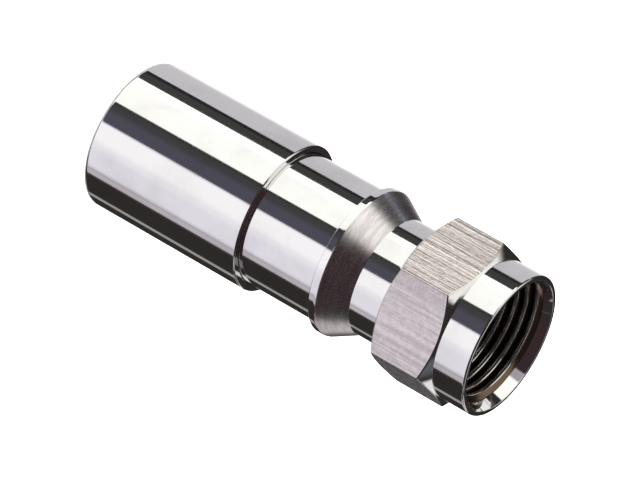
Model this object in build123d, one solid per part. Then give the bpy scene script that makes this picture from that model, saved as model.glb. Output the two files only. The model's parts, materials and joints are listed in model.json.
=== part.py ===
from build123d import *
import math
import os

# Compression F connector for coaxial cable, in millimetres.
# Z is the axis. The cable enters at z = 0 and the nut's mouth is at the top.

# Coupling nut. Its thread drives all diameters: walls and steps lead from it to every other one.
thread_diameter = 9.525
hex_sides = 6
hex_wall = 0.7925
hex_length = 5.2
hex_chamfer_angle = 30.0
nut_rear_bevel = 0.255
collar_wall = 0.6475
collar_length = 2.6
collar_edge_bevel = 0.12
mouth_chamfer = 0.28
mouth_chamfer_length = 0.8
relief_step = 0.25
relief_length = 1.25
lip_reach = 0.4
lip_thickness = 0.8
socket_depth = 0.9

# Post: the inner tube that goes under the cable's braid
flange_inset = 0.6125
flange_thickness = 0.9
post_shoulder_step = 0.6
shank_step = 0.35
post_wall = 0.35
post_overhang = 3.3
barb_count = 3
barb_pitch = 1.1
barb_height = 0.3
barb_tip_wall = 0.15

# Connector body
neck_inset = 0.2625
neck_length = 3.42
cone_length = 2.1
shoulder_ring_step = 0.505
shoulder_ring_width = 0.6
ring_edge_bevel = 0.08
barrel_step = 0.695
barrel_wall = 0.845
barrel_length = 10.03
barrel_end_chamfer = 0.2
hub_length = 3.1
chamber_mouth_chamfer = 0.3

# Compression sleeve
sleeve_wall = 0.515
sleeve_length = 13.65
sleeve_overlap = 3.55
sleeve_front_chamfer = 0.08
sleeve_rear_bevel = 0.2
sleeve_end_wall = 1.7
end_wall_reach = 1.175
entry_chamfer = 0.5

# Grip ring: the plastic wedge inside the sleeve
grip_bore_step = 0.3
grip_head_length = 1.9
grip_nose_length = 5.1
grip_nose_taper = 0.25
grip_nose_taper_length = 1.2

# Rubber seal rings
nut_seal_section = 0.5
sleeve_seal_section = 0.44
seal_bulge = 0.1
seal_groove_room = 0.12
sleeve_seal_setback = 1.6

# Clearances and fits, on the radius or along the axis
turning_clearance = 0.05
sliding_clearance = 0.03
wedge_clearance = 0.06
socket_clearance = 0.08
seal_clearance = 0.02
seat_gap = 0.02
press_interference = 0.01
nut_play_front = 0.1
nut_play_rear = 0.15

# Heights along the axis, from the cable end up
body_rear_z = sleeve_length - sleeve_overlap
shoulder_z = body_rear_z + barrel_length
cone_z = shoulder_z + shoulder_ring_width
neck_z = cone_z + cone_length
nose_z = neck_z + neck_length
lip_rear_z = nose_z + nut_play_rear
lip_front_z = lip_rear_z + lip_thickness
nut_rear_z = lip_rear_z - socket_depth
hex_front_z = nut_rear_z + hex_length
mouth_z = hex_front_z + collar_length
thread_end_z = lip_front_z + relief_length
flange_rear_z = lip_front_z + nut_play_front
flange_front_z = flange_rear_z + flange_thickness
post_rear_z = body_rear_z - post_overhang
hub_rear_z = nose_z - hub_length
grip_head_front_z = sleeve_end_wall + grip_head_length
grip_nose_front_z = grip_head_front_z + grip_nose_length
nut_seal_z = lip_rear_z - seal_groove_room - nut_seal_section
seal_groove_z = body_rear_z + sleeve_seal_setback

# Radii of the nut and the post, from the thread inwards
thread_radius = thread_diameter / 2
hex_flat_radius = thread_radius + hex_wall
hex_corner_radius = hex_flat_radius / math.cos(math.pi / hex_sides)
nut_rear_radius = hex_flat_radius - nut_rear_bevel
collar_radius = thread_radius + collar_wall
relief_radius = thread_radius + relief_step
flange_radius = thread_radius - flange_inset
lip_bore_radius = flange_radius - lip_reach
post_collar_radius = lip_bore_radius - turning_clearance
shank_radius = post_collar_radius - post_shoulder_step
tube_radius = shank_radius - shank_step
post_bore_radius = tube_radius - post_wall

# Radii of the body, the sleeve and what lies between them
neck_radius = thread_radius - neck_inset
socket_radius = neck_radius + socket_clearance
hub_bore_radius = shank_radius - press_interference
barrel_radius = neck_radius + barrel_step
ring_radius = barrel_radius + shoulder_ring_step
chamber_radius = barrel_radius - barrel_wall
sleeve_bore_radius = barrel_radius + sliding_clearance
sleeve_radius = sleeve_bore_radius + sleeve_wall
entry_radius = sleeve_bore_radius - end_wall_reach
grip_bore_radius = entry_radius - grip_bore_step
nut_seal_radius = socket_radius - seal_clearance
nut_seal_seat_radius = nut_seal_radius - nut_seal_section
sleeve_seal_radius = sleeve_bore_radius - seal_clearance
sleeve_seal_floor_radius = sleeve_seal_radius - sleeve_seal_section


def turned(*outline):
    """Solid turned about Z from a closed outline of (radius, height) points."""
    face = make_face(Plane.XZ * Polyline(*outline, close=True))
    return revolve(face, axis=Axis.Z)


def seal_ring(outer_radius, section, height):
    """Rubber ring pressed flat inside and outside, bulging up and down. Its lowest edge is at that height."""
    inner_radius = outer_radius - section
    middle_radius = outer_radius - section / 2
    top = height + section
    return turned(
        (middle_radius, height),
        (outer_radius, height + seal_bulge),
        (outer_radius, top - seal_bulge),
        (middle_radius, top),
        (inner_radius, top - seal_bulge),
        (inner_radius, height + seal_bulge),
    )


def coupling_nut():
    """Hexagon with both ends chamfered, a threaded collar in front and an inward lip at the back."""
    slope = math.tan(math.radians(hex_chamfer_angle))
    rear_rise = (hex_corner_radius - nut_rear_radius) * slope
    front_rise = (hex_corner_radius - collar_radius) * slope
    flats = extrude(RegularPolygon(hex_flat_radius, hex_sides, major_radius=False), hex_length)
    flats = Pos(0, 0, nut_rear_z) * flats
    chamfered = turned(
        (0, nut_rear_z),
        (nut_rear_radius, nut_rear_z),
        (hex_corner_radius, nut_rear_z + rear_rise),
        (hex_corner_radius, hex_front_z - front_rise),
        (collar_radius, hex_front_z),
        (0, hex_front_z),
    )
    collar = turned(
        (0, hex_front_z),
        (collar_radius, hex_front_z),
        (collar_radius, mouth_z - collar_edge_bevel),
        (collar_radius - collar_edge_bevel, mouth_z),
        (0, mouth_z),
    )
    hollow = turned(
        (0, nut_rear_z),
        (socket_radius, nut_rear_z),
        (socket_radius, lip_rear_z),
        (lip_bore_radius, lip_rear_z),
        (lip_bore_radius, lip_front_z),
        (relief_radius, lip_front_z),
        (relief_radius, thread_end_z),
        (thread_radius, thread_end_z),
        (thread_radius, mouth_z - mouth_chamfer_length),
        (thread_radius + mouth_chamfer, mouth_z),
        (0, mouth_z),
    )
    return (flats & chamfered) + collar - hollow


def barb_points():
    """Outline of the saw-tooth barbs, from the first barb's crest down to the post's rear end."""
    points = []
    for number in range(barb_count):
        crest_z = post_rear_z + (barb_count - number) * barb_pitch
        points.append((tube_radius + barb_height, crest_z))
        points.append((tube_radius, crest_z - barb_pitch))
    points[-1] = (post_bore_radius + barb_tip_wall, post_rear_z)
    return points


def post():
    """Thin tube with barbs at the cable end, a pressed shank and a flange inside the nut."""
    first_crest_z = post_rear_z + barb_count * barb_pitch
    return turned(
        (post_bore_radius, post_rear_z),
        (post_bore_radius, flange_front_z),
        (flange_radius, flange_front_z),
        (flange_radius, flange_rear_z),
        (post_collar_radius, flange_rear_z),
        (post_collar_radius, nose_z),
        (shank_radius, nose_z),
        (shank_radius, hub_rear_z),
        (tube_radius, hub_rear_z - shank_step),
        (tube_radius, first_crest_z),
        *barb_points(),
    )


def connector_body():
    """Turned body: nose and neck under the nut, cone, shoulder ring, and the barrel for the sleeve."""
    groove_top_z = seal_groove_z + sleeve_seal_section + seal_groove_room
    chamber_top_z = hub_rear_z - (chamber_radius - hub_bore_radius)
    return turned(
        (hub_bore_radius, nose_z),
        (nut_seal_seat_radius, nose_z),
        (nut_seal_seat_radius, nut_seal_z),
        (neck_radius, nut_seal_z),
        (neck_radius, neck_z),
        (ring_radius, cone_z),
        (ring_radius, shoulder_z + ring_edge_bevel),
        (ring_radius - ring_edge_bevel, shoulder_z),
        (barrel_radius, shoulder_z),
        (barrel_radius, groove_top_z),
        (sleeve_seal_floor_radius, groove_top_z),
        (sleeve_seal_floor_radius, seal_groove_z),
        (barrel_radius, seal_groove_z),
        (barrel_radius, body_rear_z + barrel_end_chamfer),
        (barrel_radius - barrel_end_chamfer, body_rear_z),
        (chamber_radius + chamber_mouth_chamfer, body_rear_z),
        (chamber_radius, body_rear_z + chamber_mouth_chamfer),
        (chamber_radius, chamber_top_z),
        (hub_bore_radius, hub_rear_z),
    )


def compression_sleeve():
    """Thin sleeve over the barrel, with an end wall that holds the grip ring and lets the cable in."""
    return turned(
        (entry_radius + entry_chamfer, 0),
        (sleeve_radius - sleeve_rear_bevel, 0),
        (sleeve_radius, sleeve_rear_bevel),
        (sleeve_radius, sleeve_length - sleeve_front_chamfer),
        (sleeve_radius - sleeve_front_chamfer, sleeve_length),
        (sleeve_bore_radius, sleeve_length),
        (sleeve_bore_radius, sleeve_end_wall),
        (entry_radius, sleeve_end_wall),
        (entry_radius, entry_chamfer),
    )


def grip_ring():
    """Plastic ring seated on the sleeve's end wall, whose nose wedges into the body's chamber."""
    nose = chamber_radius - wedge_clearance
    head = sleeve_bore_radius - seat_gap
    return turned(
        (grip_bore_radius, sleeve_end_wall),
        (head, sleeve_end_wall),
        (head, grip_head_front_z),
        (nose, grip_head_front_z),
        (nose, grip_nose_front_z - grip_nose_taper_length),
        (nose - grip_nose_taper, grip_nose_front_z),
        (grip_bore_radius, grip_nose_front_z),
    )


nodes = {
    "coupling_nut": coupling_nut(),
    "post": post(),
    "connector_body": connector_body(),
    "compression_sleeve": compression_sleeve(),
    "grip_ring": grip_ring(),
    "nut_seal_ring": seal_ring(nut_seal_radius, nut_seal_section, nut_seal_z),
    "sleeve_seal_ring": seal_ring(
        sleeve_seal_radius, sleeve_seal_section, seal_groove_z + seal_groove_room / 2
    ),
}

os.makedirs("parts", exist_ok=True)
for name, solid in nodes.items():
    export_step(solid, f"parts/{name}.step")
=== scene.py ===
"""Looks of a compression connector for coaxial cable, worked out round its packed solids.

Every length is in metres, in the solids' frame: Z is the connector's axis, the cable enters at z = 0 and the
nut's mouth is at the top. Two of the hexagon's corners lie on the X axis.
"""

import json
import math

import bpy
import numpy as np
from bpy.props import FloatProperty, FloatVectorProperty, PointerProperty
from mathutils import Matrix, Vector

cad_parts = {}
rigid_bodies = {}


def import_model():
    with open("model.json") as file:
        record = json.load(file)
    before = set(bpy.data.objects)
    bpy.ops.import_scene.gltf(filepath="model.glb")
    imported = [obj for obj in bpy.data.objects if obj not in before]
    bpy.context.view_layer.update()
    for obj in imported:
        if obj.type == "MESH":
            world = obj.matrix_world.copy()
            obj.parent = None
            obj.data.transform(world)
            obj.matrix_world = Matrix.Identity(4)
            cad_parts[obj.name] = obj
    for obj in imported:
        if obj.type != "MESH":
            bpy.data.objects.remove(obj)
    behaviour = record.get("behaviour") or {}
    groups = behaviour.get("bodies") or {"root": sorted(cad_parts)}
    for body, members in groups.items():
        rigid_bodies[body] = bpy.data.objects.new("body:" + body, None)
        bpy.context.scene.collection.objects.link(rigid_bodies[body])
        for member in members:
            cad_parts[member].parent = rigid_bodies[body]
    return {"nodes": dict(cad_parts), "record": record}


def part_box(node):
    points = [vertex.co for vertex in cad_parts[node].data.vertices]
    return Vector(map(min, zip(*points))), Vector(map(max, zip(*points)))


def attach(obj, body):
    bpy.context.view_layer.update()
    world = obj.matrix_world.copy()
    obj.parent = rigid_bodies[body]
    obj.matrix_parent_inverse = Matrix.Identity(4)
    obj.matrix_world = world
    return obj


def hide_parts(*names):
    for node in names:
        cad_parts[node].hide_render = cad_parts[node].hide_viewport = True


bl_info = {
    "name": "Coaxial Compression Connector",
    "version": (1, 0, 0),
    "blender": (4, 5, 0),
    "location": "View3D > Sidebar > Connector",
    "description": "Nickel-plated pieces, the nut's thread, plastic, rubber and a small studio",
    "category": "Object",
}

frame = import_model()
MM = 0.001
HEX_SIDES = 6
# The hexagon's chamfers and the thread's flanks all lean at 30 degrees
SLOPE_30 = math.tan(math.radians(30))

NUT_LOW, NUT_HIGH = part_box("coupling_nut")
BODY_LOW, BODY_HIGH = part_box("connector_body")
SLEEVE_LOW, SLEEVE_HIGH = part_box("compression_sleeve")
POST_LOW, POST_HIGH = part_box("post")
MOUNTS = {mount["name"]: mount for mount in frame["record"]["mounts"]}
THREAD_RADIUS = MOUNTS["port_thread"]["dims"]["r_mm"] * MM
ENTRY_RADIUS = MOUNTS["cable_entry"]["dims"]["r_mm"] * MM
POST_BORE = MOUNTS["conductor_passage"]["dims"]["r_mm"] * MM


def length(name, description, millimetres):
    """A length that a user may change, shown in the scene's unit."""
    return FloatProperty(
        name=name, description=description, default=millimetres * MM, min=0, unit="LENGTH", precision=6
    )


def share(name, description, value):
    """A plain number from 0 to 1."""
    return FloatProperty(name=name, description=description, default=value, min=0, max=1)


def angle(name, description, degrees):
    """An angle that a user may change, shown in degrees."""
    return FloatProperty(
        name=name, description=description, default=math.radians(degrees), subtype="ANGLE", precision=4
    )


def colour(name, description, red, green, blue):
    """A linear colour that a user may change."""
    return FloatVectorProperty(
        name=name, description=description, default=(red, green, blue), min=0, max=4, subtype="COLOR"
    )


class NutSettings(bpy.types.PropertyGroup):
    """Sizes of the coupling nut and its thread."""

    hex_length: length("Hexagon length", "Length of the six-sided part", 5.2)
    rear_bevel: length("Rear bevel", "How far inside the flats the rear chamfer starts", 0.255)
    collar_wall: length("Collar wall", "Wall of the round collar outside the thread", 0.6475)
    mouth_chamfer: length("Mouth chamfer", "How much wider than the thread the mouth opens", 0.28)
    mouth_depth: length("Mouth chamfer length", "Length of the slope from the mouth to the thread", 0.8)
    relief_step: length("Relief step", "How much wider than the thread its relief is", 0.25)
    relief_length: length("Relief length", "Length of the relief behind the thread", 1.25)
    lip_bore: length("Lip bore radius", "Radius of the inward lip's bore", 3.75)
    lip_thickness: length("Lip thickness", "Thickness of the inward lip", 0.8)
    socket_radius: length("Socket radius", "Radius of the rear socket that takes the body's neck", 4.58)
    socket_depth: length("Socket depth", "Depth of the rear socket", 0.9)
    edge_radius: length("Edge radius", "Rounding of the nut's edges", 0.06)
    corner_radius: length("Corner radius", "Rounding of the hexagon's six long edges", 0.1)
    pitch: length("Thread pitch", "Rise of the thread in one turn", 0.79375)
    thread_depth: length("Thread depth", "Height of the thread's ridge", 0.43)
    crest_width: length("Crest width", "Flat width of the ridge's crest", 0.26)
    lead_in: length("Lead-in", "Distance from the mouth to the thread's first ridge", 0.5)
    run_out: angle("Run-out", "Turn over which the ridge grows to its full height at both ends", 70.0)
    ridge_foot: length("Ridge foot", "How far the ridge is sunk in the wall", 0.03)
    ridge_rounding: length("Ridge rounding", "Rounding of the ridge's crest", 0.13)
    foot_rounding: length("Foot rounding", "Rounding of the ridge's hidden foot", 0.01)


class BodySettings(bpy.types.PropertyGroup):
    """Sizes of the turned body."""

    neck_radius: length("Neck radius", "Radius of the neck behind the nut", 4.5)
    cone_length: length("Cone length", "Length of the cone", 2.1)
    cone_start: length("Cone start", "Height of the cone's wide end above the barrel's end", 10.63)
    ring_width: length("Shoulder ring width", "Width of the narrow shoulder ring", 0.6)
    barrel_radius: length("Barrel radius", "Radius of the smooth barrel", 5.195)
    chamber_radius: length("Chamber radius", "Radius of the barrel's bore", 4.35)
    hub_bore: length("Hub bore radius", "Radius of the bore that the post is pressed in", 3.09)
    hub_length: length("Hub length", "Length of that bore", 3.1)
    seat_radius: length("Seat radius", "Radius of the seal's seat on the nose", 4.06)
    seat_length: length("Seat length", "Length of the seal's seat", 0.47)
    groove_height: length("Groove height", "Height of the seal groove above the barrel's end", 1.6)
    groove_width: length("Groove width", "Width of the seal groove", 0.56)
    groove_radius: length("Groove radius", "Radius of the seal groove's floor", 4.765)
    edge_radius: length("Edge radius", "Rounding of the body's edges", 0.05)


class SleeveSettings(bpy.types.PropertyGroup):
    """Sizes of the compression sleeve."""

    wall: length("Wall", "Wall of the sleeve", 0.515)
    end_wall: length("End wall", "Thickness of the wall at the cable end", 1.7)
    front_chamfer: length("Front chamfer", "Chamfer at the front edge", 0.08)
    entry_chamfer: length("Entry chamfer", "Chamfer at the cable entry", 0.5)
    edge_radius: length("Edge radius", "Rounding of the sleeve's edges", 0.05)
    rear_radius: length("Rear edge radius", "Rounding of the outer edge at the cable end", 0.22)


class PostSettings(bpy.types.PropertyGroup):
    """Sizes of the inner post."""

    flange: length("Flange thickness", "Thickness of the flange that holds the nut", 0.9)
    collar_radius: length("Collar radius", "Radius under the nut's lip", 3.7)
    collar_length: length("Collar length", "Length of that collar", 1.05)
    shank_radius: length("Shank radius", "Radius of the pressed shank", 3.1)
    tube_radius: length("Tube radius", "Radius of the thin tube", 2.75)
    barb_pitch: length("Barb pitch", "Distance between the barbs", 1.1)
    barb_height: length("Barb height", "How far the barbs stand out", 0.3)
    tip_wall: length("Tip wall", "Wall at the rear end", 0.15)
    edge_radius: length("Edge radius", "Rounding of the post's edges", 0.03)


class FinishSettings(bpy.types.PropertyGroup):
    """Colours and fineness of the surfaces."""

    nickel: colour("Nickel", "Colour of the plating", 0.80, 0.79, 0.78)
    nickel_smudged: colour("Smudged nickel", "Plating where it was handled", 0.66, 0.64, 0.62)
    turned: colour("Turned cone", "Plating on the cone's tool marks", 0.67, 0.60, 0.60)
    milled: colour("Milled flats", "Plating on the hexagon's milled flats", 0.70, 0.64, 0.635)
    milled_groove: colour("Milling grooves", "Plating in the flats' milling grooves", 0.47, 0.43, 0.43)
    # The nut's inside colour: partly dull plating, partly painted shade of the nut's hollow
    inside: colour("Nut's inside", "Dull yellowish plating inside the nut", 0.10, 0.055, 0.026)
    plastic: colour("Plastic", "Colour of the grip ring", 0.018, 0.019, 0.022)
    rubber: colour("Rubber", "Colour of the seal rings", 0.012, 0.012, 0.012)
    polish: share("Polish roughness", "Roughness of the bright turned surfaces", 0.05)
    brushed: share("Brushed roughness", "What the milling adds to the flats' roughness", 0.10)
    thread_polish: share("Thread roughness", "Roughness of the thread's ridge", 0.14)
    post_polish: share("Post roughness", "Roughness of the post", 0.2)
    cone_dulling: share("Cone dulling", "What the tool marks add to the cone's roughness", 0.22)
    inside_dulling: share("Inside dulling", "What the dull inside adds to the nut's roughness", 0.36)
    smudge_dulling: share("Smudge dulling", "What smudges add to the roughness", 0.03)
    speck_dulling: share("Speck dulling", "What specks add to the roughness", 0.06)
    sleeve_relief: length("Sleeve relief", "Depth of the sleeve's turning lines", 0.0006)
    cone_relief: length("Cone relief", "Depth of the cone's tool marks", 0.004)
    flat_relief: length("Flat relief", "Depth of the milling marks on the flats", 0.033)
    thread_relief: length("Thread relief", "Depth of the lines on the thread", 0.0002)
    post_relief: length("Post relief", "Depth of the post's turning lines", 0.002)
    plastic_relief: length("Plastic relief", "Depth of the grip ring's grain", 0.004)
    rubber_relief: length("Rubber relief", "Depth of the seal rings' grain", 0.003)


class StageSettings(bpy.types.PropertyGroup):
    """Camera, floor and lamp."""

    view_azimuth: angle("View azimuth", "Side that the camera looks from", -21.70)
    view_elevation: angle("View elevation", "Height of the camera as an angle", 25.12)
    view_roll: angle("View roll", "Turn of the camera about its line of sight", 119.53)
    view_distance: length("View distance", "Distance from the camera to the point it aims at", 280.55)
    aim_height: length("Aim height", "Height on the axis that the camera aims at", 16.82)
    view_shift: FloatVectorProperty(
        name="View shift", description="Shift of the picture as a share of its width", size=2,
        default=(-0.0006, -0.0011), precision=4,
    )
    lens: FloatProperty(name="Lens", description="Focal length in millimetres", default=225.0, min=1)
    floor_size: length("Floor size", "Side of the floor", 3000.0)
    floor_colour: colour("Floor", "Colour of the floor", 0.86, 0.86, 0.86)
    floor_shade: colour("Floor shade", "Colour of the floor's faint smudges", 0.8, 0.8, 0.8)
    lamp_power: FloatProperty(name="Lamp power", description="Power of the overhead lamp", default=48, min=0)
    lamp_size: length("Lamp size", "Diameter of the overhead lamp", 1800.0)
    lamp_height: length("Lamp height", "Height of the overhead lamp", 1000.0)


# Surfaces

# Longest reach of a corner's arc, as a share of the shorter side beside it
LONGEST_REACH = 0.4
# Place of the extra point beside each arc, as a share of the arc's reach
GUARD = 1.18
# Points across each rounded corner of the hexagon and along each of its sides, and the gap between the two
CORNER_POINTS = 7
SIDE_POINTS = 38
SIDE_START = 1.6
# Width of the thread's ridge where it has run out, as a share of its full width
RUN_OUT_WIDTH = 0.35


def round_corners(outline, radii, steps=4):
    """Closed outlines with rounded corners, as an array (points, columns, 2).

    A corner P with sides A P and P B becomes the arc that touches both at radius * tan(turn / 2) from P,
    at most two fifths of the shorter side away. The arc is the curve
    ((1-s)^2 A + 2 s (1-s) w P + s^2 B) / ((1-s)^2 + 2 s (1-s) w + s^2), where w = cos(turn / 2).
    One more point on each side keeps the shading of the arc off the flat beside it.
    """
    before = outline - np.roll(outline, 1, axis=0)
    after = np.roll(outline, -1, axis=0) - outline
    reach_before = np.linalg.norm(before, axis=2)
    reach_after = np.linalg.norm(after, axis=2)
    before = before / reach_before[..., None]
    after = after / reach_after[..., None]
    turn = np.arccos(np.clip((before * after).sum(axis=2), -1, 1))
    longest = LONGEST_REACH * np.minimum(reach_before, reach_after)
    touch = np.minimum(radii[:, None] * np.tan(turn / 2), longest)
    first = outline - before * touch[..., None]
    last = outline + after * touch[..., None]
    weight = np.cos(turn / 2)[..., None]
    points = [outline - before * (GUARD * touch)[..., None]]
    for s in np.linspace(0, 1, steps + 1):
        middle = 2 * s * (1 - s) * weight
        total = (1 - s) ** 2 + middle + s**2
        points.append(((1 - s) ** 2 * first + middle * outline + s**2 * last) / total)
    points.append(outline + after * (GUARD * touch)[..., None])
    return np.stack(points, axis=1).reshape(-1, outline.shape[1], 2)


def columns_of(outline, count):
    """Outline of (radius, height) pairs, each a number or one value per column, as (points, columns, 2)."""
    rows = [np.stack(np.broadcast_arrays(r, z, np.zeros(count))[:2], axis=1) for r, z in outline]
    return np.array(rows, float)


def grid_faces(rows, columns, rows_closed=True, columns_closed=True):
    """Four-cornered faces of a grid of points, numbered row by row, joined end to end where it closes."""
    row = np.arange(rows if rows_closed else rows - 1)
    column = np.arange(columns if columns_closed else columns - 1)
    row, column = (part.ravel() for part in np.meshgrid(row, column, indexing="ij"))
    next_row = (row + 1) % rows
    next_column = (column + 1) % columns
    corners = (row * columns + column, row * columns + next_column)
    corners += (next_row * columns + next_column, next_row * columns + column)
    return np.stack(corners, axis=1).tolist()


def smooth_piece(name, points, faces, body, material, nodes=()):
    """Puts the points and faces into a smooth mesh that rides on a body and stands for those nodes."""
    mesh = bpy.data.meshes.new(name)
    mesh.from_pydata(points.reshape(-1, 3).tolist(), [], faces)
    mesh.shade_smooth()
    mesh.materials.append(material)
    piece = bpy.data.objects.new(name, mesh)
    bpy.context.scene.collection.objects.link(piece)
    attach(piece, body)
    if nodes:
        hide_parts(*nodes)


def turned_points(profile, angles):
    """Surface turned about Z: the point (i, j) is (r cos a, r sin a, z) of profile point i and angle j."""
    radius, height = profile[..., 0], profile[..., 1]
    return np.stack([radius * np.cos(angles), radius * np.sin(angles), height], axis=2)


def turned_piece(name, outline, radii, angles, body, material, nodes):
    """Closed turned shell from an outline that runs up the outside and down the inside."""
    profile = round_corners(columns_of(outline, len(angles)), np.array(radii, float))
    points = turned_points(profile, angles)
    faces = grid_faces(profile.shape[0], len(angles))
    smooth_piece(name, points, faces, body, material, nodes)


def even_angles(count):
    """That many angles, even round the circle."""
    return np.arange(count) * (2 * math.pi / count)


def hexagon_centre(flat, corner):
    """Distance of a rounded corner's centre from the axis: (flat - corner) / cos 30."""
    return (flat - corner) / math.cos(math.pi / HEX_SIDES)


def hexagon_touch(flat, corner):
    """Angle from a corner at which its arc meets the side: 30 degrees - atan(centre sin 30 / flat)."""
    half = math.pi / HEX_SIDES
    return half - math.atan(hexagon_centre(flat, corner) * math.sin(half) / flat)


def hexagon_angles(flat, corner):
    """Angles round the hexagon: close together across each corner's arc, even along each side."""
    touch = hexagon_touch(flat, corner)
    across = np.linspace(-touch, touch, CORNER_POINTS)
    side = np.linspace(touch * SIDE_START, math.tau / HEX_SIDES - touch * SIDE_START, SIDE_POINTS)
    one = np.concatenate([across, side])
    turns = np.arange(HEX_SIDES) * (math.tau / HEX_SIDES)
    return (turns[:, None] + one[None, :]).ravel()


def hexagon_radius(angles, flat, corner):
    """Distance from the axis to a six-sided outline with rounded corners.

    With a the angle from the nearest corner, the side lies at flat / cos(30 deg - a), and the corner's arc at
    c cos a + sqrt(q^2 - c^2 sin^2 a), with q the corner's radius and c its centre's distance from the axis.
    """
    step = math.tau / HEX_SIDES
    a = np.abs((angles + step / 2) % step - step / 2)
    centre = hexagon_centre(flat, corner)
    side = flat / np.cos(step / 2 - a)
    arc = centre * np.cos(a) + np.sqrt(np.maximum(corner**2 - (centre * np.sin(a)) ** 2, 0))
    return np.where(a < hexagon_touch(flat, corner), arc, side)


def thread_points(nut, low, high, slope_start, slope, count_per_turn=120):
    """Ridge wound inside the nut: at turn angle t its section stands at height low + pitch t / (2 pi).

    The section is a trapezium with flanks at 30 degrees, sunk a little into the wall. Its height grows from
    nothing to full over the run-out at both ends, as a smooth step. Where the mouth opens, its foot follows
    the wall: it moves outwards by (height - slope_start) * slope.
    """
    turns = (high - low) / nut.pitch
    t = np.linspace(0, math.tau * turns, int(count_per_turn * turns))
    ends = np.clip(np.minimum(t, t[-1] - t) / nut.run_out, 0, 1)
    growth = ends * ends * (3 - 2 * ends)
    crest = nut.crest_width / 2
    foot = crest + (nut.thread_depth + nut.ridge_foot) * SLOPE_30
    half = [(nut.ridge_foot, foot), (-nut.thread_depth, crest)]
    section = np.array(half + [(outward, -along) for outward, along in half[::-1]])
    rounding = np.array([nut.foot_rounding, nut.ridge_rounding, nut.ridge_rounding, nut.foot_rounding])
    section = round_corners(section[:, None, :], rounding)[:, 0, :]
    outward, along = section[:, 0, None], section[:, 1, None]
    width = RUN_OUT_WIDTH + (1 - RUN_OUT_WIDTH) * growth
    height = low + nut.pitch * t[None, :] / math.tau + along * width
    flared = np.maximum(height - slope_start, 0) * slope
    radius = THREAD_RADIUS + np.where(outward < 0, outward * growth, outward + flared)
    points = np.stack([radius * np.cos(t), radius * np.sin(t), np.broadcast_to(height, radius.shape)], axis=2)
    faces = grid_faces(len(section), len(t), columns_closed=False)
    first = [row * len(t) for row in range(len(section))]
    last = [row * len(t) + len(t) - 1 for row in range(len(section))]
    return points, faces + [first, last[::-1]]


# Node helpers


def add_node(tree, kind, inputs=None, **settings):
    """Adds a node, with its settings, and sets each named input or links it to a given output."""
    node = tree.nodes.new(kind)
    for name, value in settings.items():
        setattr(node, name, value)
    for name, value in (inputs or {}).items():
        if isinstance(value, bpy.types.NodeSocket):
            tree.links.new(value, node.inputs[name])
        else:
            node.inputs[name].default_value = value
    return node


def maths(tree, operation, *values):
    """Output of a Math node on numbers or outputs."""
    return add_node(tree, "ShaderNodeMath", dict(enumerate(values)), operation=operation).outputs[0]


def step_between(tree, value, start, end):
    """Smooth rise from 0 to 1 as the value goes from start to end."""
    inputs = {"Value": value, "From Min": start, "From Max": end}
    return add_node(tree, "ShaderNodeMapRange", inputs, interpolation_type="SMOOTHSTEP").outputs["Result"]


def spread(tree, value, low, high):
    """The value's range 0 to 1 carried to low to high."""
    inputs = {"Value": value, "To Min": low, "To Max": high}
    return add_node(tree, "ShaderNodeMapRange", inputs).outputs["Result"]


def mixed_number(tree, factor, first, second):
    """Number between two numbers."""
    return add_node(tree, "ShaderNodeMix", {0: factor, 2: first, 3: second}, data_type="FLOAT").outputs[0]


def mixed_colour(tree, factor, first, second):
    """Colour between two colours."""
    node = add_node(tree, "ShaderNodeMix", data_type="RGBA")
    for index, value in ((0, factor), (6, first), (7, second)):
        if isinstance(value, bpy.types.NodeSocket):
            tree.links.new(value, node.inputs[index])
        elif index:
            node.inputs[index].default_value = (*value[:3], 1)
        else:
            node.inputs[index].default_value = value
    return node.outputs[2]


def new_group(name, inputs, outputs):
    """Empty shader group with those inputs (name, kind, default) and outputs (name, kind)."""
    group = bpy.data.node_groups.new(name, "ShaderNodeTree")
    for label, kind, default in inputs:
        socket = group.interface.new_socket(label, in_out="INPUT", socket_type=f"NodeSocket{kind}")
        if default is not None:
            socket.default_value = default
    for label, kind in outputs:
        group.interface.new_socket(label, in_out="OUTPUT", socket_type=f"NodeSocket{kind}")
    return group, group.nodes.new("NodeGroupInput"), group.nodes.new("NodeGroupOutput")


def use_group(tree, name, **inputs):
    """Places a shared group; an input's spaces are written as underscores."""
    node = tree.nodes.new("ShaderNodeGroup")
    node.node_tree = bpy.data.node_groups[name]
    for key, value in inputs.items():
        socket = node.inputs[key.replace("_", " ")]
        if isinstance(value, bpy.types.NodeSocket):
            tree.links.new(value, socket)
        else:
            socket.default_value = value
    return node


# Shared surface effects


def tool_marks_group():
    """Lines left by a tool: two noises stretched the same way, the finer one three times as close."""
    inputs = [("Place", "Vector", None), ("Stretch", "Vector", (1, 1, 1)), ("Clumping", "Float", 0.5)]
    group, given, made = new_group("Tool marks", inputs, [("Height", "Float"), ("Streak", "Float")])
    place = add_node(
        group, "ShaderNodeVectorMath", {0: given.outputs["Place"], 1: given.outputs["Stretch"]},
        operation="MULTIPLY",
    )
    coarse, fine = (
        add_node(
            group, "ShaderNodeTexNoise",
            {"Vector": place.outputs[0], "Scale": scale, "Detail": detail, "Roughness": roughness},
        )
        for scale, detail, roughness in ((1.0, 2.0, 0.5), (3.1, 3.0, 0.6))
    )
    height = mixed_number(group, given.outputs["Clumping"], fine.outputs["Fac"], coarse.outputs["Fac"])
    group.links.new(height, made.inputs["Height"])
    group.links.new(step_between(group, height, 0.42, 0.6), made.inputs["Streak"])


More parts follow.
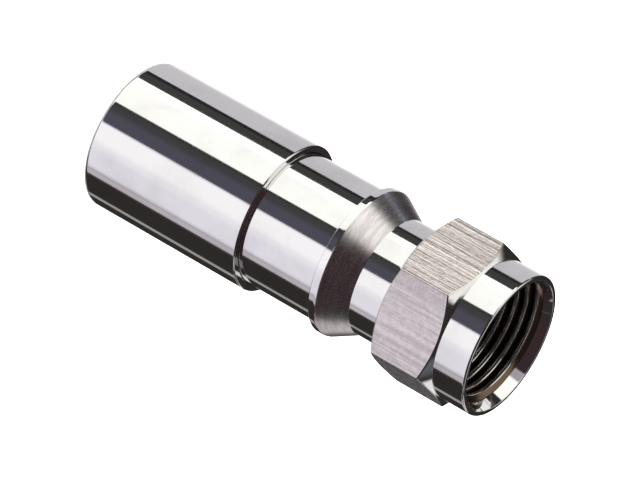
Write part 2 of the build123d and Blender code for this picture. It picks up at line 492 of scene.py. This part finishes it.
def handling_group():
    """Marks of handling: soft smudges from a coarse noise, and specks where a fine noise peaks."""
    inputs = [("Place", "Vector", None), ("Smudge size", "Float", 3.0), ("Speck size", "Float", 0.2)]
    group, given, made = new_group("Handling marks", inputs, [("Smudge", "Float"), ("Speck", "Float")])
    smudge = add_node(
        group, "ShaderNodeTexNoise",
        {"Vector": given.outputs["Place"], "Scale": maths(group, "DIVIDE", 1.0, given.outputs["Smudge size"]),
         "Detail": 4.0, "Roughness": 0.55, "Distortion": 0.4},
    )
    speck = add_node(
        group, "ShaderNodeTexNoise",
        {"Vector": given.outputs["Place"], "Scale": maths(group, "DIVIDE", 1.0, given.outputs["Speck size"]),
         "Detail": 1.0},
    )
    group.links.new(step_between(group, smudge.outputs["Fac"], 0.45, 0.72), made.inputs["Smudge"])
    group.links.new(step_between(group, speck.outputs["Fac"], 0.66, 0.74), made.inputs["Speck"])


def zone_group():
    """Mask of a zone round the axis: 1 between two radii and two heights, with soft limits."""
    names = ("Inner radius", "Outer radius", "Low", "High", "Softness")
    inputs = [("Place", "Vector", None)] + [(name, "Float", 0.0) for name in names]
    group, given, made = new_group("Zone round axis", inputs, [("Mask", "Float")])
    parts = add_node(group, "ShaderNodeSeparateXYZ", {0: given.outputs["Place"]}).outputs
    radius = maths(group, "SQRT", maths(group, "ADD", maths(group, "MULTIPLY", parts[0], parts[0]),
                                        maths(group, "MULTIPLY", parts[1], parts[1])))
    soft = given.outputs["Softness"]
    mask = None
    for value, low, high in ((radius, "Inner radius", "Outer radius"), (parts[2], "Low", "High")):
        for limit, sign in ((low, 1.0), (high, -1.0)):
            beyond = maths(group, "MULTIPLY", maths(group, "SUBTRACT", value, given.outputs[limit]), sign)
            edge = step_between(group, maths(group, "DIVIDE", beyond, soft), -1.0, 1.0)
            mask = edge if mask is None else maths(group, "MULTIPLY", mask, edge)
    group.links.new(mask, made.inputs["Mask"])


# Stretch of the tool marks along X, Y and Z: the larger, the closer they lie
TURNING_LINES = (0.15, 0.15, 9.0)
CONE_MARKS = (0.5, 0.5, 4.0)
MILLING_MARKS = (2.4, 2.4, 0.05)
ROUND_GRAIN = (3.0, 3.0, 3.0)
# Depth of the plain turning lines beside the cone's marks and the milling marks, as a share of theirs
LINES_BY_CONE = 0.1
LINES_BY_FLATS = 0.01
# Share of the round grain in the milling marks: in their height and in their colour
GRAIN_HEIGHT = 0.3
GRAIN_COLOUR = 0.4
# In millimetres: a radius beyond every piece, the softness of a zone's limits, and for the nut's inside, dull
# plating darkened with painted shade, the softness of its limits and how far inside the rear end it starts
BEYOND_ALL = 9.0
LIMIT = 0.02
DULL_SHADE_LIMIT = 0.05
DULL_SHADE_START = 0.5


def new_material(name):
    """Material with a Principled shader, and its Object coordinates in millimetres."""
    material = bpy.data.materials.new(name)
    material.use_nodes = True
    tree = material.node_tree
    place = add_node(tree, "ShaderNodeTexCoord").outputs["Object"]
    place = add_node(tree, "ShaderNodeVectorMath", {0: place, "Scale": 1 / MM}, operation="SCALE").outputs[0]
    return material, tree, tree.nodes["Principled BSDF"], place


def plain_nickel(tree, shader, place, polish):
    """Bright turned plating: (colour, roughness, height of its fine turning lines)."""
    look = bpy.context.scene.connector_finish
    handling = use_group(tree, "Handling marks", Place=place, Smudge_size=4.0, Speck_size=0.16)
    lines = use_group(tree, "Tool marks", Place=place, Stretch=TURNING_LINES, Clumping=0.4)
    shade = maths(tree, "MULTIPLY", handling.outputs["Smudge"], 0.5)
    tint = mixed_colour(tree, shade, look.nickel, look.nickel_smudged)
    smudged = spread(tree, handling.outputs["Smudge"], polish, polish + look.smudge_dulling)
    specks = maths(tree, "MULTIPLY", handling.outputs["Speck"], look.speck_dulling)
    rough = maths(tree, "ADD", smudged, specks)
    shader.inputs["Metallic"].default_value = 1.0
    return tint, rough, lines.outputs["Height"]


def link_finish(tree, shader, tint, rough, height, depth):
    """Feeds the shader, with the height as a bump of that depth."""
    bump = add_node(tree, "ShaderNodeBump", {"Height": height, "Distance": depth})
    tree.links.new(bump.outputs[0], shader.inputs["Normal"])
    for value, name in ((tint, "Base Color"), (rough, "Roughness")):
        tree.links.new(value, shader.inputs[name])


def sleeve_material():
    """Polished nickel of the sleeve."""
    look = bpy.context.scene.connector_finish
    material, tree, shader, place = new_material("Nickel, sleeve")
    tint, rough, height = plain_nickel(tree, shader, place, look.polish)
    link_finish(tree, shader, tint, rough, height, look.sleeve_relief)
    return material


def body_material():
    """Polished nickel with tool marks on the cone."""
    look, body = bpy.context.scene.connector_finish, bpy.context.scene.connector_body
    material, tree, shader, place = new_material("Nickel, body")
    tint, rough, height = plain_nickel(tree, shader, place, look.polish)
    start = (BODY_LOW.z + body.cone_start) / MM
    cone = use_group(
        tree, "Zone round axis", Place=place, Inner_radius=body.seat_radius / MM, Outer_radius=BEYOND_ALL,
        Low=start + LIMIT, High=start + body.cone_length / MM - LIMIT, Softness=LIMIT,
    ).outputs["Mask"]
    marks = use_group(tree, "Tool marks", Place=place, Stretch=CONE_MARKS, Clumping=0.6)
    turned = mixed_colour(tree, marks.outputs["Streak"], look.turned, look.nickel)
    tint = mixed_colour(tree, cone, tint, turned)
    rough = maths(tree, "ADD", rough, maths(tree, "MULTIPLY", cone, look.cone_dulling))
    lines = maths(tree, "MULTIPLY", height, LINES_BY_CONE)
    height = mixed_number(tree, cone, lines, marks.outputs["Height"])
    link_finish(tree, shader, tint, rough, height, look.cone_relief)
    return material


def lean_of(tree):
    """How far a surface leans from upright: 0 on a wall along the axis, 1 across the axis."""
    facing = add_node(tree, "ShaderNodeTexCoord").outputs["Normal"]
    return maths(tree, "ABSOLUTE", add_node(tree, "ShaderNodeSeparateXYZ", {0: facing}).outputs[2])


def nut_material():
    """Nickel with brushed flats, a polished collar, and inside the hollow dull plating darkened with painted
    shade.
    """
    look = bpy.context.scene.connector_finish
    nut = bpy.context.scene.connector_nut
    material, tree, shader, place = new_material("Nickel, nut")
    tint, rough, height = plain_nickel(tree, shader, place, look.polish)
    collar = (THREAD_RADIUS + nut.collar_wall) / MM
    low, high = NUT_LOW.z / MM, (NUT_LOW.z + nut.hex_length) / MM
    flats = use_group(
        tree, "Zone round axis", Place=place, Inner_radius=collar + 5 * LIMIT, Outer_radius=BEYOND_ALL,
        Low=low, High=high, Softness=LIMIT / 2,
    ).outputs["Mask"]
    flats = maths(tree, "MULTIPLY", flats, step_between(tree, lean_of(tree), 0.3, 0.05))
    slope_start = (NUT_HIGH.z - nut.mouth_depth) / MM
    # Zone of the nut's hollow: dull plating, darkened with painted shade
    inside = use_group(
        tree, "Zone round axis", Place=place, Inner_radius=0.0, Outer_radius=THREAD_RADIUS / MM + LIMIT,
        Low=low + DULL_SHADE_START, High=slope_start - DULL_SHADE_LIMIT, Softness=DULL_SHADE_LIMIT,
    ).outputs["Mask"]
    brushed = use_group(tree, "Tool marks", Place=place, Stretch=MILLING_MARKS, Clumping=0.5)
    grain = use_group(tree, "Tool marks", Place=place, Stretch=ROUND_GRAIN, Clumping=0.5)
    grained = maths(tree, "MULTIPLY", grain.outputs["Height"], GRAIN_HEIGHT)
    scored = maths(tree, "ADD", brushed.outputs["Height"], grained)
    bare = mixed_number(tree, GRAIN_COLOUR, brushed.outputs["Streak"], grain.outputs["Streak"])
    tint = mixed_colour(tree, flats, tint, mixed_colour(tree, bare, look.milled_groove, look.milled))
    # Painted shade: the hollow inside the nut takes the dark inside colour
    tint = mixed_colour(tree, inside, tint, look.inside)
    for zone, dulling in ((flats, look.brushed), (inside, look.inside_dulling)):
        rough = maths(tree, "ADD", rough, maths(tree, "MULTIPLY", zone, dulling))
    height = mixed_number(tree, flats, maths(tree, "MULTIPLY", height, LINES_BY_FLATS), scored)
    link_finish(tree, shader, tint, rough, height, look.flat_relief)
    tree.links.new(spread(tree, inside, 1.0, 0.95), shader.inputs["Metallic"])
    return material


def thread_material():
    """Nickel on the thread's crest, and on its flanks the nut's dark inside colour as painted shade between
    the ridges.
    """
    look = bpy.context.scene.connector_finish
    material, tree, shader, place = new_material("Nickel, thread")
    tint, rough, height = plain_nickel(tree, shader, place, look.thread_polish)
    # Painted shade: the flanks, leaning across the axis, take the dark inside colour; the crest stays bright
    shaded_flank = spread(tree, step_between(tree, lean_of(tree), 0.45, 0.85), 0.0, 0.95)
    tint = mixed_colour(tree, shaded_flank, tint, look.inside)
    shader.inputs["Metallic"].default_value = 0.98
    link_finish(tree, shader, tint, rough, height, look.thread_relief)
    return material


def post_material():
    """Satin nickel of the post."""
    look = bpy.context.scene.connector_finish
    material, tree, shader, place = new_material("Nickel, post")
    tint, rough, height = plain_nickel(tree, shader, place, look.post_polish)
    link_finish(tree, shader, tint, rough, height, look.post_relief)
    return material


def soft_material(name, base, roughness, grain, depth):
    """Moulded plastic or rubber: an even colour with a fine grain."""
    material, tree, shader, place = new_material(name)
    handling = use_group(tree, "Handling marks", Place=place, Smudge_size=2.0, Speck_size=grain)
    lighter = tuple(min(1.0, part * 1.8 + 0.004) for part in base)
    tint = mixed_colour(tree, maths(tree, "MULTIPLY", handling.outputs["Smudge"], 0.5), base, lighter)
    rough = spread(tree, handling.outputs["Smudge"], roughness, roughness + 0.12)
    marks = use_group(tree, "Tool marks", Place=place, Stretch=(1 / grain,) * 3, Clumping=0.5)
    link_finish(tree, shader, tint, rough, marks.outputs["Height"], depth)
    return material


# Pieces


class CONNECTOR_OT_shared_effects(bpy.types.Operator):
    """Builds the node groups that the materials share"""

    bl_idname = "connector.shared_effects"
    bl_label = "Shared Surface Effects"

    def execute(self, context):
        tool_marks_group()
        handling_group()
        zone_group()
        return {"FINISHED"}


class CONNECTOR_OT_nut(bpy.types.Operator):
    """Builds the coupling nut: hexagon, collar and hollow in one closed shell"""

    bl_idname = "connector.nut"
    bl_label = "Coupling Nut"

    def execute(self, context):
        nut = context.scene.connector_nut
        flat = NUT_HIGH.y
        rear, mouth = NUT_LOW.z, NUT_HIGH.z
        front = rear + nut.hex_length
        collar = THREAD_RADIUS + nut.collar_wall
        lip_rear = rear + nut.socket_depth
        lip_front = lip_rear + nut.lip_thickness
        relief = THREAD_RADIUS + nut.relief_step
        relief_end = lip_front + nut.relief_length
        angles = hexagon_angles(flat, nut.corner_radius)
        side = hexagon_radius(angles, flat, nut.corner_radius)
        bevel = flat - nut.rear_bevel
        edge = nut.edge_radius
        outline = [
            (nut.socket_radius, rear),
            (bevel, rear),
            (side, rear + (side - bevel) * SLOPE_30),
            (side, front - (side - collar) * SLOPE_30),
            (collar, front),
            (collar, mouth),
            (THREAD_RADIUS + nut.mouth_chamfer, mouth),
            (THREAD_RADIUS, mouth - nut.mouth_depth),
            (THREAD_RADIUS, relief_end),
            (relief, relief_end),
            (relief, lip_front),
            (nut.lip_bore, lip_front),
            (nut.lip_bore, lip_rear),
            (nut.socket_radius, lip_rear),
        ]
        radii = [edge, edge, edge * 1.5, edge * 2.0, edge * 0.5, edge * 3.3] + [edge] * 8
        turned_piece(
            "nut_shell", outline, radii, angles, "nut", nut_material(), ["coupling_nut"]
        )
        return {"FINISHED"}


class CONNECTOR_OT_thread(bpy.types.Operator):
    """Winds the thread's ridge inside the nut"""

    bl_idname = "connector.thread"
    bl_label = "Nut Thread"

    def execute(self, context):
        nut = context.scene.connector_nut
        low = NUT_LOW.z + nut.socket_depth + nut.lip_thickness + nut.relief_length + nut.pitch / 2
        high = NUT_HIGH.z - nut.lead_in - nut.pitch / 2
        points, faces = thread_points(
            nut, low, high, NUT_HIGH.z - nut.mouth_depth, nut.mouth_chamfer / nut.mouth_depth
        )
        smooth_piece("nut_thread", points, faces, "nut", thread_material())
        return {"FINISHED"}


class CONNECTOR_OT_body(bpy.types.Operator):
    """Builds the turned body with its neck, cone, shoulder ring and barrel"""

    bl_idname = "connector.body"
    bl_label = "Connector Body"

    def execute(self, context):
        body = context.scene.connector_body
        rear, nose = BODY_LOW.z, BODY_HIGH.z
        ring, barrel = BODY_HIGH.x, body.barrel_radius
        cone = rear + body.cone_start
        shoulder = cone - body.ring_width
        groove = rear + body.groove_height
        seat = nose - body.seat_length
        hub = nose - body.hub_length
        chamber_top = hub - (body.chamber_radius - body.hub_bore)
        edge = body.edge_radius
        outline = [
            (body.chamber_radius, rear),
            (barrel, rear),
            (barrel, groove),
            (body.groove_radius, groove),
            (body.groove_radius, groove + body.groove_width),
            (barrel, groove + body.groove_width),
            (barrel, shoulder),
            (ring, shoulder),
            (ring, cone),
            (body.neck_radius, cone + body.cone_length),
            (body.neck_radius, seat),
            (body.seat_radius, seat),
            (body.seat_radius, nose),
            (body.hub_bore, nose),
            (body.hub_bore, hub),
            (body.chamber_radius, chamber_top),
        ]
        radii = [edge * 4, edge * 3] + [edge] * 4 + [edge * 0.5, edge * 1.6, edge * 9] + [edge] * 7
        turned_piece(
            "body_shell", outline, radii, even_angles(256), "body", body_material(),
            ["connector_body"],
        )
        return {"FINISHED"}


class CONNECTOR_OT_sleeve(bpy.types.Operator):
    """Builds the compression sleeve with its end wall"""

    bl_idname = "connector.sleeve"
    bl_label = "Compression Sleeve"

    def execute(self, context):
        sleeve = context.scene.connector_sleeve
        rear, front = SLEEVE_LOW.z, SLEEVE_HIGH.z
        outer = SLEEVE_HIGH.x
        bore = outer - sleeve.wall
        edge = sleeve.edge_radius
        outline = [
            (ENTRY_RADIUS + sleeve.entry_chamfer, rear),
            (outer, rear),
            (outer, front - sleeve.front_chamfer),
            (outer - sleeve.front_chamfer, front),
            (bore, front),
            (bore, rear + sleeve.end_wall),
            (ENTRY_RADIUS, rear + sleeve.end_wall),
            (ENTRY_RADIUS, rear + sleeve.entry_chamfer),
        ]
        radii = [edge, sleeve.rear_radius, edge, edge] + [edge] * 4
        turned_piece(
            "sleeve_shell", outline, radii, even_angles(256), "sleeve",
            sleeve_material(), ["compression_sleeve"],
        )
        return {"FINISHED"}


class CONNECTOR_OT_post(bpy.types.Operator):
    """Builds the inner post with its flange and barbs"""

    bl_idname = "connector.post"
    bl_label = "Inner Post"

    def execute(self, context):
        post = context.scene.connector_post
        rear, front = POST_LOW.z, POST_HIGH.z
        hub = BODY_HIGH.z - context.scene.connector_body.hub_length
        flange_rear = front - post.flange
        outline = [
            (POST_BORE, rear),
            (POST_BORE + post.tip_wall, rear),
            (post.tube_radius + post.barb_height, rear + post.barb_pitch),
            (post.tube_radius, rear + post.barb_pitch),
            (post.tube_radius + post.barb_height, rear + 2 * post.barb_pitch),
            (post.tube_radius, rear + 2 * post.barb_pitch),
            (post.tube_radius + post.barb_height, rear + 3 * post.barb_pitch),
            (post.tube_radius, rear + 3 * post.barb_pitch),
            (post.tube_radius, hub - (post.shank_radius - post.tube_radius)),
            (post.shank_radius, hub),
            (post.shank_radius, flange_rear - post.collar_length),
            (post.collar_radius, flange_rear - post.collar_length),
            (post.collar_radius, flange_rear),
            (POST_HIGH.x, flange_rear),
            (POST_HIGH.x, front),
            (POST_BORE, front),
        ]
        turned_piece(
            "post_tube", outline, [post.edge_radius] * 16, even_angles(144), "body",
            post_material(), ["post"],
        )
        return {"FINISHED"}


class CONNECTOR_OT_inner_rings(bpy.types.Operator):
    """Gives the plastic grip ring and the two rubber seals their finish"""

    bl_idname = "connector.inner_rings"
    bl_label = "Grip Ring and Seals"

    def execute(self, context):
        look = context.scene.connector_finish
        plastic = soft_material("Plastic, grip ring", look.plastic, 0.42, 0.12, look.plastic_relief)
        rubber = soft_material("Rubber, seals", look.rubber, 0.6, 0.06, look.rubber_relief)
        finishes = {
            "grip_ring": (plastic, "moulded_plastic"),
            "nut_seal_ring": (rubber, "seal_rubber"),
            "sleeve_seal_ring": (rubber, "seal_rubber"),
        }
        for name, (material, slot) in finishes.items():
            node = frame["nodes"][name]
            node.data.materials.clear()
            node.data.materials.append(material)
        return {"FINISHED"}


# Studio


def soft_panel(tree, azimuth, elevation, middle, half, low, high, soft):
    """Mask of a light panel, from its middle azimuth, half width and lowest and highest elevation."""
    away = maths(tree, "WRAP", maths(tree, "SUBTRACT", azimuth, math.radians(middle)), math.pi, -math.pi)
    away = maths(tree, "ABSOLUTE", away)
    edge = math.radians(soft)
    across = step_between(tree, away, math.radians(half) + edge / 2, math.radians(half) - edge / 2)
    bottom = step_between(tree, elevation, math.radians(low) - edge / 2, math.radians(low) + edge / 2)
    top = step_between(tree, elevation, math.radians(high) + edge / 2, math.radians(high) - edge / 2)
    return maths(tree, "MULTIPLY", across, maths(tree, "MULTIPLY", bottom, top))


# Panels round the object: middle azimuth, half width, lowest and highest elevation and edge softness, all in
# degrees, then the colour of its light. Later panels lie in front of earlier ones.
PANELS = (
    ("reddish rim of the front panel", -48, 27, -90, 3, 4, (0.115, 0.078, 0.083)),
    ("dim edge of the front panel", -50, 27, -90, 3, 1.5, (0.57, 0.535, 0.58)),
    ("front panel", -73, 38, -90, 3, 9, (0.90, 0.88, 0.97)),
    ("bright half of the front panel", -88, 15, -90, 8, 1.5, (1.14, 1.13, 1.16)),
    ("fade between the halves", -71, 5, -90, 8, 12, (1.0, 0.99, 1.05)),
    ("thin line in the front panel", -32, 1.0, -90, 8, 1.5, (0.44, 0.43, 0.51)),
    ("card under the camera", -119, 14, -90, 0, 2.5, (0.088, 0.084, 0.112)),
    ("neutral side of that card", -130, 6, -90, 0, 10, (0.060, 0.059, 0.062)),
    ("dim ceiling over the camera", -95, 70, 8, 76, 14, (0.043, 0.027, 0.031)),
    ("side panel", -167.5, 28.5, -90, 42, 1.5, (1.25, 1.26, 1.22)),
    ("brighter end of the side panel", -187, 9, -90, -5, 6, (1.95, 1.94, 1.80)),
    ("soft end of the side panel", -146, 8, 6, 24, 5, (0.42, 0.40, 0.43)),
    ("far card", -199, 8.7, -31, -18, 1.5, (0.055, 0.055, 0.055)),
    ("gap behind the far card", -209, 3, -90, -12, 1.0, (0.022, 0.022, 0.022)),
    ("back panel", 119.5, 28, -90, -14, 2, (0.65, 0.635, 0.67)),
    ("bright end of the back panel", 77, 18, -90, -14, 12, (0.98, 0.96, 0.97)),
    ("haze low behind", 136, 18, -8, 4, 2, (0.12, 0.105, 0.13)),
    ("middle of that haze", 111, 8, -11, -4.5, 1, (0.12, 0.105, 0.13)),
    ("lower end of that haze", 100, 6, -14, -8, 1, (0.12, 0.105, 0.13)),
    ("thin strip behind", 133, 2.8, -12, 24, 3, (0.44, 0.49, 0.57)),
    ("narrow strip", 22.5, 4, -90, -12, 2, (0.37, 0.36, 0.34)),
    ("sliver beside the corner panel", 0, 7, -8, 5, 2, (0.40, 0.38, 0.40)),
    ("corner panel", 22, 17, -13, 10, 5, (0.66, 0.63, 0.635)),
    ("small high panel", 36, 9, 18, 38, 4, (0.95, 0.95, 0.97)),
    ("dull card over the corner", 16, 9, 40, 56, 6, (0.13, 0.14, 0.17)),
    ("pale card at the back", -1, 9, 26, 42, 5, (0.50, 0.50, 0.52)),
    ("high panel", 68, 20, 38, 62, 4, (0.95, 0.93, 0.90)),
    ("overhead panel", 133, 30, 34, 86, 12, (1.1, 1.08, 1.05)),
    ("beige end of the overhead panel", 178, 17, 40, 66, 10, (0.84, 0.78, 0.74)),
    ("ground below", 0, 190, -90, -66, 14, (0.55, 0.55, 0.57)),
)


# Light from between the panels
DARK_ROOM = (0.032, 0.029, 0.028)
WHITE = (1.0, 1.0, 1.0)


def studio_world():
    """Soft panels and dark cards all round, and plain white where the camera sees past the floor."""
    world = bpy.data.worlds.new("Studio")
    world.use_nodes = True
    tree = world.node_tree
    tree.nodes.clear()
    direction = add_node(tree, "ShaderNodeTexCoord").outputs["Generated"]
    parts = add_node(tree, "ShaderNodeSeparateXYZ", {0: direction}).outputs
    azimuth = maths(tree, "ARCTAN2", parts[1], parts[0])
    elevation = maths(tree, "ARCSINE", parts[2])
    light = DARK_ROOM
    for _, middle, half, low, high, soft, tint in PANELS:
        mask = soft_panel(tree, azimuth, elevation, middle, half, low, high, soft)
        light = mixed_colour(tree, mask, light, tint)
    seen = add_node(tree, "ShaderNodeLightPath").outputs["Is Camera Ray"]
    light = mixed_colour(tree, seen, light, WHITE)
    background = add_node(tree, "ShaderNodeBackground", {"Color": light})
    output = add_node(tree, "ShaderNodeOutputWorld")
    tree.links.new(background.outputs[0], output.inputs[0])
    bpy.context.scene.world = world


# Width of the camera's sensor in millimetres, and the nearest and farthest distance that it shows
SENSOR_WIDTH = 36.0
CLIPPING = (0.01, 10.0)


class CONNECTOR_OT_stage(bpy.types.Operator):
    """Builds the pale floor, the overhead lamp, the light panels and the camera"""

    bl_idname = "connector.stage"
    bl_label = "Stage"

    def execute(self, context):
        scene, stage = context.scene, context.scene.connector_stage
        half = stage.floor_size / 2
        mesh = bpy.data.meshes.new("floor")
        corners = [(-half, -half, 0), (half, -half, 0), (half, half, 0), (-half, half, 0)]
        mesh.from_pydata(corners, [], [(0, 1, 2, 3)])
        floor = bpy.data.objects.new("floor", mesh)
        scene.collection.objects.link(floor)
        material, tree, shader, place = new_material("Floor paper")
        grain = use_group(tree, "Handling marks", Place=place, Smudge_size=40.0, Speck_size=0.5)
        smudge = maths(tree, "MULTIPLY", grain.outputs["Smudge"], 0.05)
        paper = mixed_colour(tree, smudge, stage.floor_colour, stage.floor_shade)
        tree.links.new(paper, shader.inputs["Base Color"])
        shader.inputs["Roughness"].default_value = 0.9
        mesh.materials.append(material)
        floor.visible_glossy = False
        lamp_data = bpy.data.lights.new("overhead_lamp", "AREA")
        lamp_data.shape = "DISK"
        lamp_data.size = stage.lamp_size
        lamp_data.energy = stage.lamp_power
        lamp = bpy.data.objects.new("overhead_lamp", lamp_data)
        lamp.location = (0, 0, stage.lamp_height)
        lamp.visible_glossy = False
        lamp.visible_camera = False
        scene.collection.objects.link(lamp)
        studio_world()
        self.add_camera(scene, stage)
        scene.view_settings.view_transform = "Standard"
        scene.view_settings.look = "None"
        return {"FINISHED"}

    def add_camera(self, scene, stage):
        """Camera at the view angles, turned about its own line of sight by the roll."""
        azimuth, elevation = stage.view_azimuth, stage.view_elevation
        back = Vector((
            math.sin(azimuth) * math.cos(elevation), -math.cos(azimuth) * math.cos(elevation),
            math.sin(elevation),
        ))
        data = bpy.data.cameras.new("view")
        data.lens = stage.lens
        data.sensor_width = SENSOR_WIDTH
        data.shift_x, data.shift_y = stage.view_shift
        data.clip_start, data.clip_end = CLIPPING
        camera = bpy.data.objects.new("view", data)
        turn = (-back).to_track_quat("-Z", "Y").to_matrix() @ Matrix.Rotation(stage.view_roll, 3, "Z")
        place = Vector((0, 0, stage.aim_height)) + back * stage.view_distance
        camera.matrix_world = Matrix.Translation(place) @ turn.to_4x4()
        scene.collection.objects.link(camera)
        scene.camera = camera


class CONNECTOR_PT_panel(bpy.types.Panel):
    """Lists the pieces and their sizes and colours"""

    bl_idname = "CONNECTOR_PT_panel"
    bl_label = "Connector"
    bl_space_type = "VIEW_3D"
    bl_region_type = "UI"
    bl_category = "Connector"

    def draw(self, context):
        for operator in OPERATORS:
            self.layout.operator(operator.bl_idname)
        for name, settings in SETTINGS.items():
            box = self.layout.box()
            box.label(text=settings.__doc__)
            for field in settings.__annotations__:
                box.prop(getattr(context.scene, name), field)


SETTINGS = {
    "connector_nut": NutSettings,
    "connector_body": BodySettings,
    "connector_sleeve": SleeveSettings,
    "connector_post": PostSettings,
    "connector_finish": FinishSettings,
    "connector_stage": StageSettings,
}
OPERATORS = (
    CONNECTOR_OT_shared_effects,
    CONNECTOR_OT_nut,
    CONNECTOR_OT_thread,
    CONNECTOR_OT_body,
    CONNECTOR_OT_sleeve,
    CONNECTOR_OT_post,
    CONNECTOR_OT_inner_rings,
    CONNECTOR_OT_stage,
)


def register():
    """Registers the classes and hangs the settings on the scene."""
    for made in (*SETTINGS.values(), *OPERATORS, CONNECTOR_PT_panel):
        bpy.utils.register_class(made)
    for name, settings in SETTINGS.items():
        setattr(bpy.types.Scene, name, PointerProperty(type=settings))


def unregister():
    """Takes the settings and the classes off again."""
    for name in SETTINGS:
        delattr(bpy.types.Scene, name)
    for made in reversed((*SETTINGS.values(), *OPERATORS, CONNECTOR_PT_panel)):
        bpy.utils.unregister_class(made)


def main():
    """Builds every piece round the frame."""
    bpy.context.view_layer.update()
    for old in [o for o in bpy.data.objects if o.name in ("Cube", "Light", "Camera")]:
        bpy.data.objects.remove(old)
    register()
    bpy.ops.connector.shared_effects()
    bpy.ops.connector.nut()
    bpy.ops.connector.thread()
    bpy.ops.connector.body()
    bpy.ops.connector.sleeve()
    bpy.ops.connector.post()
    bpy.ops.connector.inner_rings()
    bpy.ops.connector.stage()


if __name__ == "__main__":
    main()
